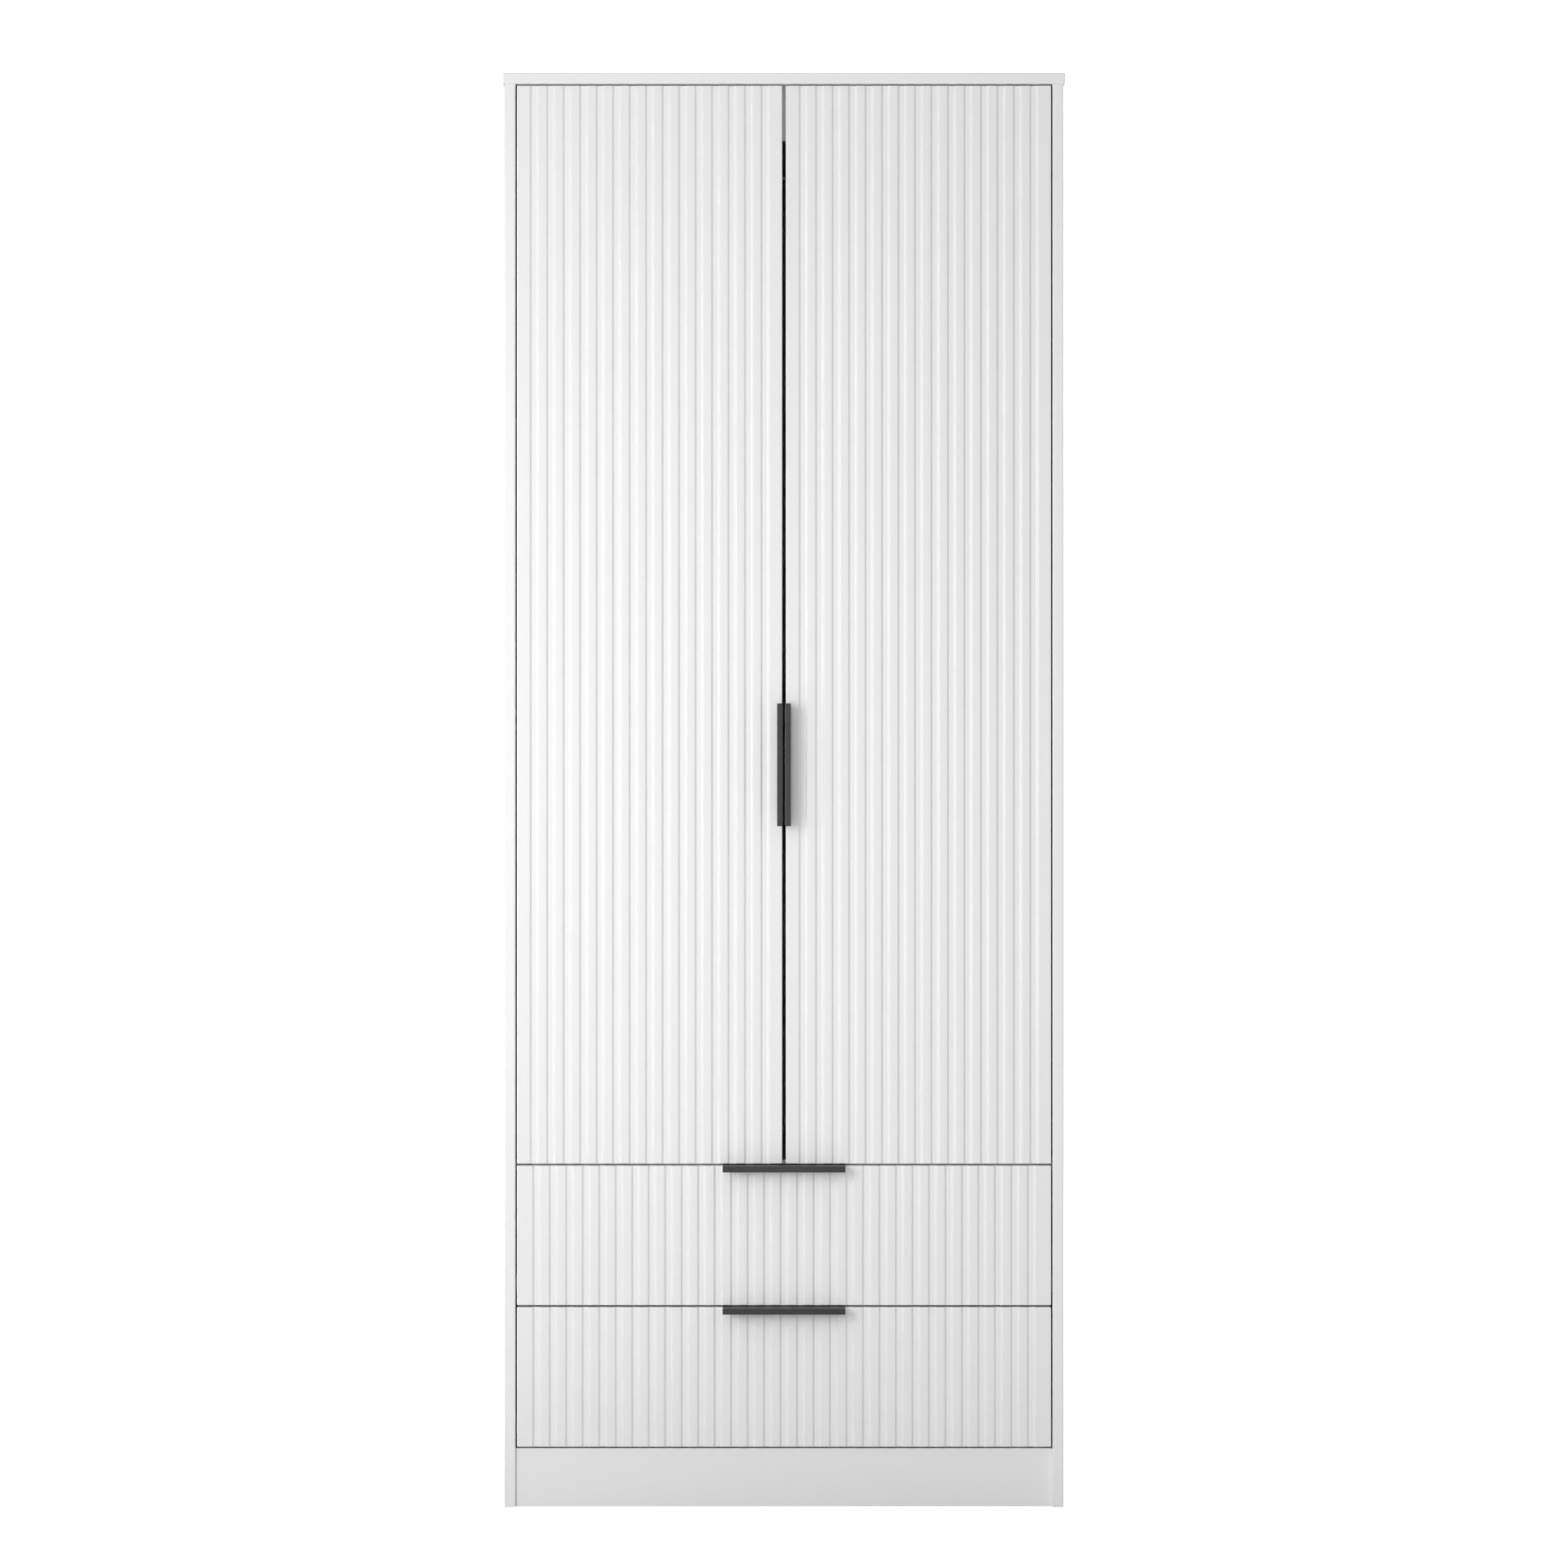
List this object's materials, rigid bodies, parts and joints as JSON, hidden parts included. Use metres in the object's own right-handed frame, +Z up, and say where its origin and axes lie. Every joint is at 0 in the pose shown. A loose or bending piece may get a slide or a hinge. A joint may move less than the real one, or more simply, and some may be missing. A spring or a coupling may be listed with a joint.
{
  "type": "wardrobe",
  "caption": "Tall white wardrobe with hinged fluted doors over a hanging space and full-width fluted drawers below, each with a black edge pull.",
  "frame": {"origin": "on the floor, under the centre of the whole outline, pulls included", "axes": "+X to the right seen from the front, +Y from front to back, +Z up; doors and drawers face -Y"},
  "size_m": [0.772, 0.556, 1.97],
  "materials": {
    "white_board": "white melamine-faced particle board, satin, with a fine orange-peel texture",
    "fluted_front": "white foil-wrapped fibreboard, satin",
    "hardboard": "thin hardboard, white lacquer on the inner face and bare brown fibre behind",
    "black_pull": "matt black powder coat",
    "chrome_rail": "polished chrome plate on steel tube",
    "nickel_steel": "nickel-plated pressed steel",
    "coated_runner": "white epoxy coat on pressed steel",
    "nylon_roller": "natural nylon",
    "zinc_fixing": "bright zinc plate",
    "beech_dowel": "plain grooved beech"
  },
  "bodies": {
    "carcass": {"left_side_panel": "white_board", "right_side_panel": "white_board", "top_panel": "white_board", "divider_panel": "white_board", "base_panel": "white_board", "door_stop_board": "white_board", "plinth_board": "white_board", "rear_plinth_board": "white_board", "upper_back_panel": "hardboard", "lower_back_panel": "hardboard", "carcass_dowels": "beech_dowel", "back_panel_nails": "zinc_fixing", "hanging_rail": "chrome_rail", "rail_sockets": "nickel_steel", "rail_socket_screws": "zinc_fixing", "left_hinge_plates": "nickel_steel", "right_hinge_plates": "nickel_steel", "hinge_plate_screws": "zinc_fixing", "left_hinge_arms": "nickel_steel", "right_hinge_arms": "nickel_steel", "hinge_arm_screws": "zinc_fixing", "upper_cabinet_runners": "coated_runner", "lower_cabinet_runners": "coated_runner", "cabinet_runner_screws": "zinc_fixing", "wall_brackets": "nickel_steel", "wall_bracket_screws": "zinc_fixing"},
    "left_door": {"left_door_panel": "fluted_front", "left_door_pull": "black_pull", "left_pull_screws": "zinc_fixing", "left_hinge_cups": "nickel_steel", "left_hinge_pins": "nickel_steel", "left_cup_screws": "zinc_fixing"},
    "right_door": {"right_door_panel": "fluted_front", "right_door_pull": "black_pull", "right_pull_screws": "zinc_fixing", "right_hinge_cups": "nickel_steel", "right_hinge_pins": "nickel_steel", "right_cup_screws": "zinc_fixing"},
    "upper_drawer": {"upper_drawer_front": "fluted_front", "upper_drawer_pull": "black_pull", "upper_pull_screws": "zinc_fixing", "upper_drawer_left_side": "white_board", "upper_drawer_right_side": "white_board", "upper_drawer_back": "white_board", "upper_drawer_base": "hardboard", "upper_drawer_runners": "coated_runner", "upper_drawer_fixings": "zinc_fixing"},
    "lower_drawer": {"lower_drawer_front": "fluted_front", "lower_drawer_pull": "black_pull", "lower_pull_screws": "zinc_fixing", "lower_drawer_left_side": "white_board", "lower_drawer_right_side": "white_board", "lower_drawer_back": "white_board", "lower_drawer_base": "hardboard", "lower_drawer_runners": "coated_runner", "lower_drawer_fixings": "zinc_fixing"},
    "upper_cabinet_roller_pair": {"upper_cabinet_rollers": "nylon_roller"},
    "upper_drawer_roller_pair": {"upper_drawer_rollers": "nylon_roller"},
    "lower_cabinet_roller_pair": {"lower_cabinet_rollers": "nylon_roller"},
    "lower_drawer_roller_pair": {"lower_drawer_rollers": "nylon_roller"}
  },
  "joints": [
    {"name": "left_door_hinge", "type": "hinge", "parent": "carcass", "child": "left_door", "pos_m": [-0.343, -0.242, 1.21225], "axis": [0, 0, -1], "range_deg": [0, 100]},
    {"name": "right_door_hinge", "type": "hinge", "parent": "carcass", "child": "right_door", "pos_m": [0.343, -0.242, 1.21225], "axis": [0, 0, 1], "range_deg": [0, 100]},
    {"name": "upper_drawer_slide", "type": "slide", "parent": "carcass", "child": "upper_drawer", "axis": [0, -1, 0], "range_m": [0, 0.34]},
    {"name": "upper_cabinet_roller_spin", "type": "hinge", "parent": "carcass", "child": "upper_cabinet_roller_pair", "pos_m": [0, -0.218, 0.3068], "axis": [1, 0, 0], "range_deg": [0, 2210]},
    {"name": "upper_drawer_roller_spin", "type": "hinge", "parent": "upper_drawer", "child": "upper_drawer_roller_pair", "pos_m": [0, 0.204, 0.30465], "axis": [1, 0, 0], "range_deg": [0, 2300]},
    {"name": "lower_drawer_slide", "type": "slide", "parent": "carcass", "child": "lower_drawer", "axis": [0, -1, 0], "range_m": [0, 0.34]},
    {"name": "lower_cabinet_roller_spin", "type": "hinge", "parent": "carcass", "child": "lower_cabinet_roller_pair", "pos_m": [0, -0.218, 0.1103], "axis": [1, 0, 0], "range_deg": [0, 2210]},
    {"name": "lower_drawer_roller_spin", "type": "hinge", "parent": "lower_drawer", "child": "lower_drawer_roller_pair", "pos_m": [0, 0.204, 0.10815], "axis": [1, 0, 0], "range_deg": [0, 2300]}
  ],
  "couplings": [
    {"joint": "upper_cabinet_roller_spin", "follows": "upper_drawer_slide", "rad_per_m": 112.99},
    {"joint": "upper_drawer_roller_spin", "follows": "upper_drawer_slide", "rad_per_m": 117.65},
    {"joint": "lower_cabinet_roller_spin", "follows": "lower_drawer_slide", "rad_per_m": 112.99},
    {"joint": "lower_drawer_roller_spin", "follows": "lower_drawer_slide", "rad_per_m": 117.65}
  ]
}
